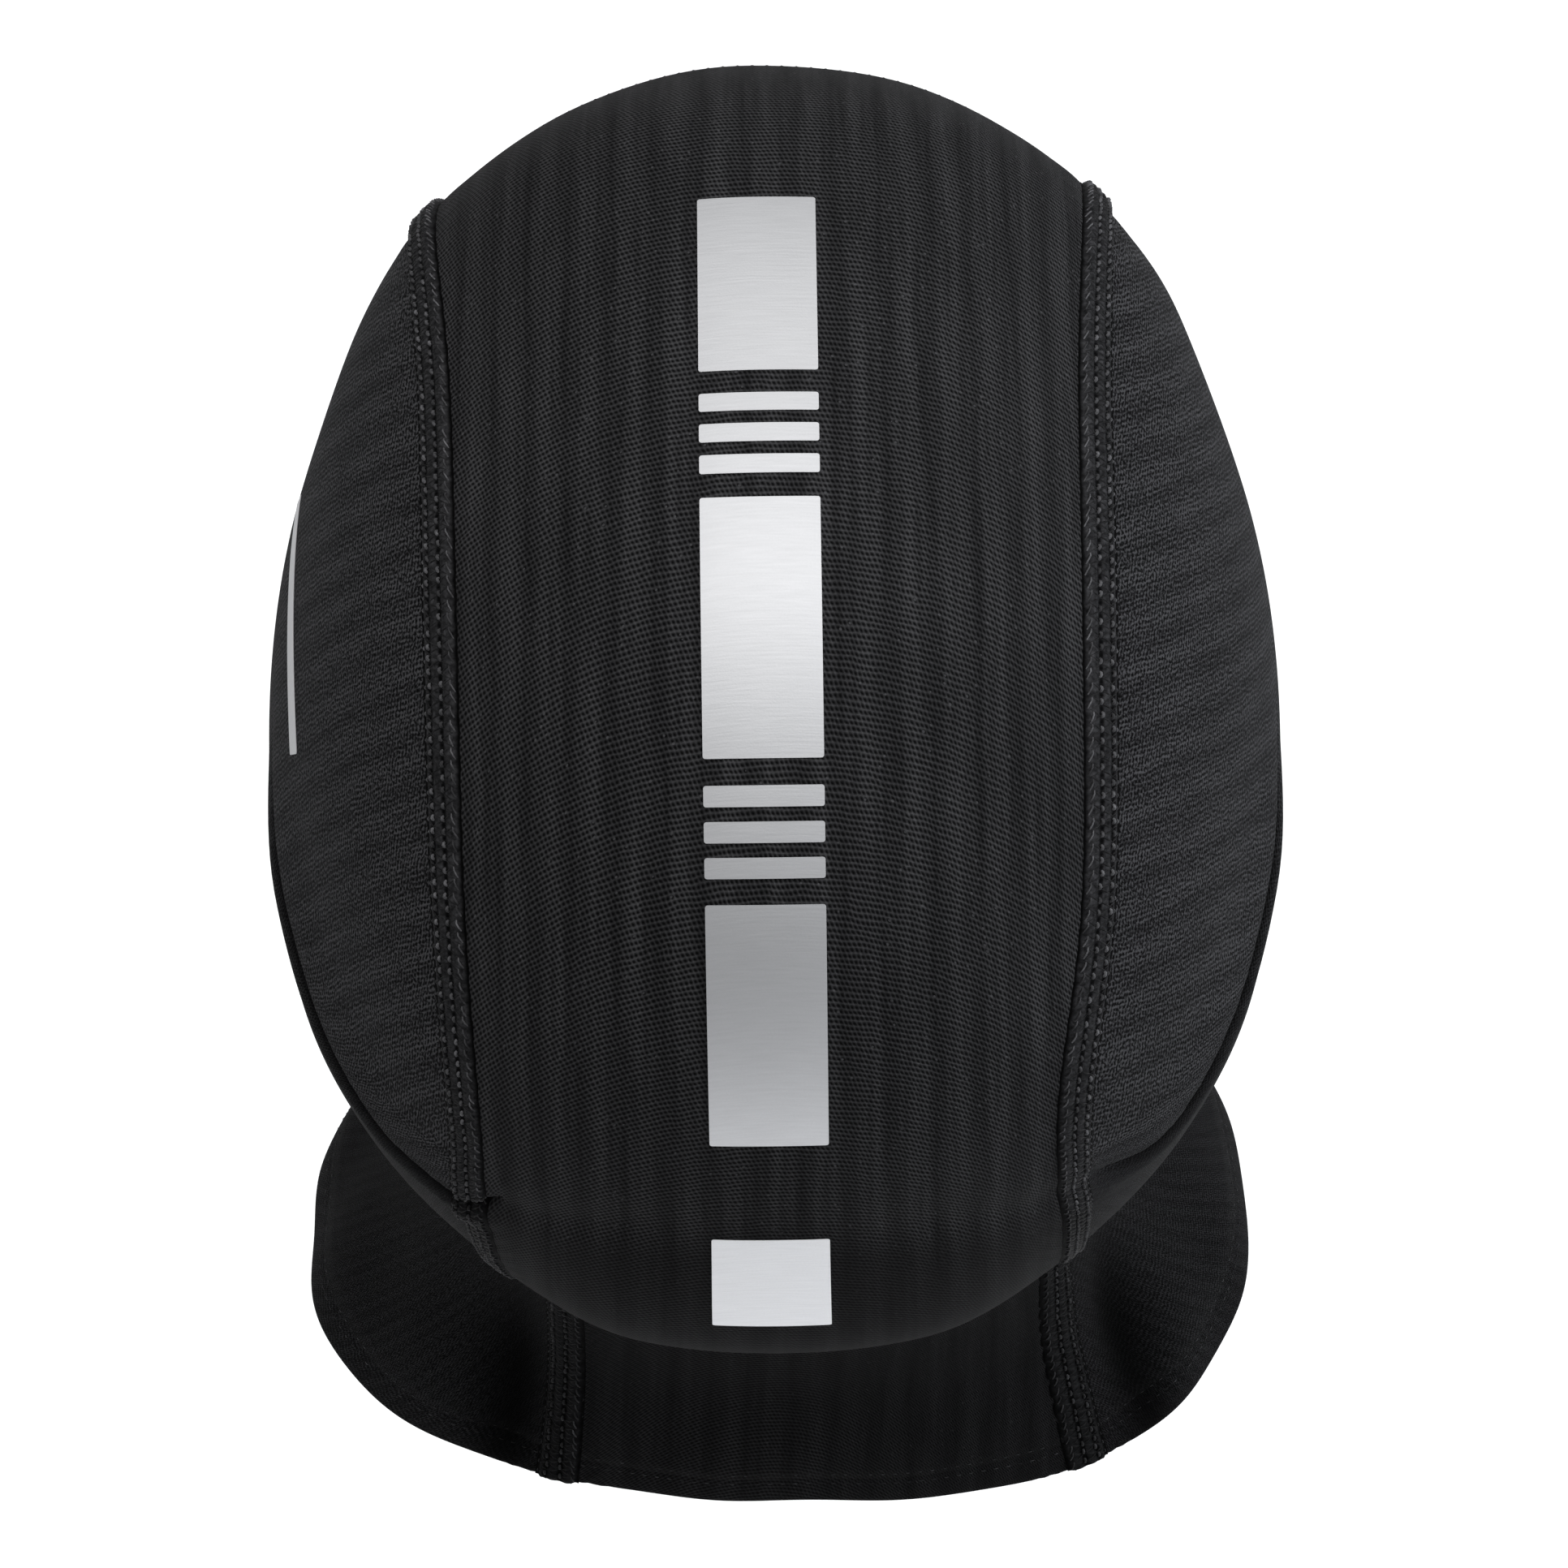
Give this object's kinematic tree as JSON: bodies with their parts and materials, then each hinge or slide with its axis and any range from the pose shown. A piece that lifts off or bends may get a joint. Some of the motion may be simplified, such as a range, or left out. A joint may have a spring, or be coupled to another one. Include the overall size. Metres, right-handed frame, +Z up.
{
  "type": "thermal hood",
  "caption": "Close-fitting knit hood over head and neck, with an oval face opening, raised flatlock seams beside a centre panel, plain reflective blocks and a flared neck with a turned hem.",
  "frame": {"origin": "the inside of the crown, where the hood sits on the top of a head", "axes": "+X towards the wearer's left, +Y towards the back of the head, +Z up; the face opening looks along -Y"},
  "size_m": [0.1676, 0.1877, 0.2778],
  "materials": {
    "knit": "matte charcoal black stretch knit",
    "seam_thread": "matte black seam thread",
    "reflective_print": "silver reflective transfer film"
  },
  "bodies": {
    "root": {"centre_panel": "knit", "side_panel_left": "knit", "side_panel_right": "knit", "face_hem": "knit", "neck_hem": "knit", "seam_left": "seam_thread", "seam_right": "seam_thread", "seam_throat": "seam_thread", "block_1": "reflective_print", "ladder_1_bar_1": "reflective_print", "ladder_1_bar_2": "reflective_print", "ladder_1_bar_3": "reflective_print", "block_2": "reflective_print", "ladder_2_bar_1": "reflective_print", "ladder_2_bar_2": "reflective_print", "ladder_2_bar_3": "reflective_print", "block_3": "reflective_print", "block_4": "reflective_print", "temple_bar": "reflective_print"}
  },
  "joints": []
}
